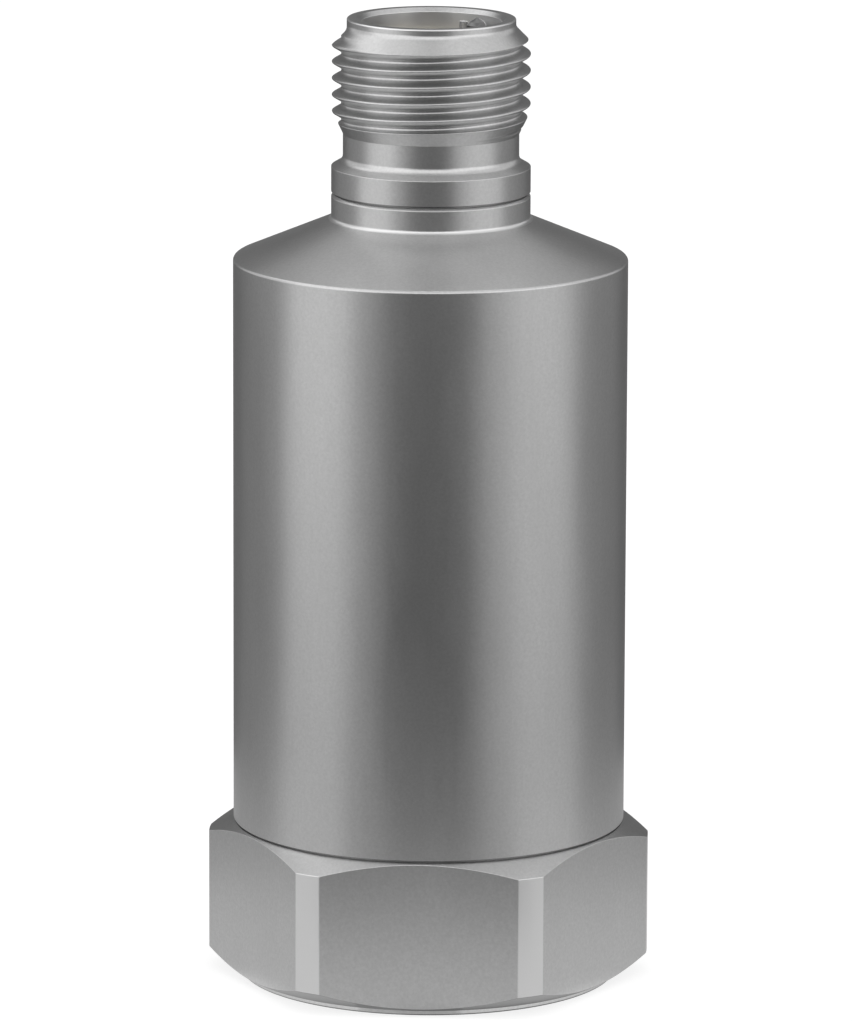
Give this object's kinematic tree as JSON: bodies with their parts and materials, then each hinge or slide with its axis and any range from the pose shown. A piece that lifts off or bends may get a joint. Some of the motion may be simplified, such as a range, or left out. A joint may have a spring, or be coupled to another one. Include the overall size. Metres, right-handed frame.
{
  "type": "vibration sensor",
  "caption": "Industrial vibration sensor: hexagonal base with tapped mounting hole, turned steel can with conical shoulder, male M12 connector, piezoelectric stack and circuit boards inside.",
  "frame": {"origin": "centre of the round mounting face under the hexagon, on the axis of the tapped hole", "axes": "+Z along the sensor's axis from the mounting face to the connector's rim; a flat of the hexagon faces -Y and two of its corners lie on X"},
  "size_m": [0.0268, 0.024, 0.0587],
  "materials": {
    "base_steel": "satin, fine bead-blasted",
    "housing_steel": "satin, fine bead-blasted",
    "connector_steel": "satin, turned",
    "insert_plastic": "moulded, matt",
    "contact_gold": "gold plated",
    "seal_rubber": "matt",
    "resin": "cast, smooth",
    "alumina": "ground",
    "piezo_ceramic": "ground, silvered faces",
    "copper": "rolled sheet",
    "tungsten": "turned",
    "white_plastic": "turned",
    "screw_steel": "bright",
    "shield_steel": "tin plated",
    "board_laminate": "solder mask",
    "black_plastic": "moulded",
    "capacitor_ceramic": "fired",
    "resistor_ceramic": "fired",
    "red_insulation": "smooth",
    "black_insulation": "smooth",
    "brown_insulation": "smooth",
    "white_insulation": "smooth",
    "blue_insulation": "smooth"
  },
  "bodies": {
    "root": {"base_hex": "base_steel", "housing_shell": "housing_steel", "connector_shell": "connector_steel", "contact_insert": "insert_plastic", "contact_pin_1": "contact_gold", "contact_pin_2": "contact_gold", "contact_pin_3": "contact_gold", "contact_pin_4": "contact_gold", "insert_o_ring": "seal_rubber", "sealing_resin": "resin", "isolation_disc": "alumina", "lower_electrode": "copper", "lower_piezo_ring": "piezo_ceramic", "signal_electrode": "copper", "upper_piezo_ring": "piezo_ceramic", "upper_electrode": "copper", "seismic_mass": "tungsten", "insulating_sleeve": "white_plastic", "insulating_washer": "alumina", "spring_washer": "screw_steel", "preload_screw": "screw_steel", "shield_can": "shield_steel", "shield_nuts": "screw_steel", "lead_bushings": "white_plastic", "signal_lead": "red_insulation", "ground_lead": "black_insulation", "lower_spacers": "screw_steel", "lower_circuit_board": "board_laminate", "upper_spacers": "screw_steel", "upper_circuit_board": "board_laminate", "board_screws": "screw_steel", "board_link_strip": "black_plastic", "board_link_pins": "contact_gold", "amplifier_chip": "black_plastic", "loop_driver_chip": "black_plastic", "board_capacitors": "capacitor_ceramic", "board_resistors": "resistor_ceramic", "surge_diodes": "black_plastic", "brown_lead": "brown_insulation", "white_lead": "white_insulation", "blue_lead": "blue_insulation", "black_lead": "black_insulation"}
  },
  "joints": []
}
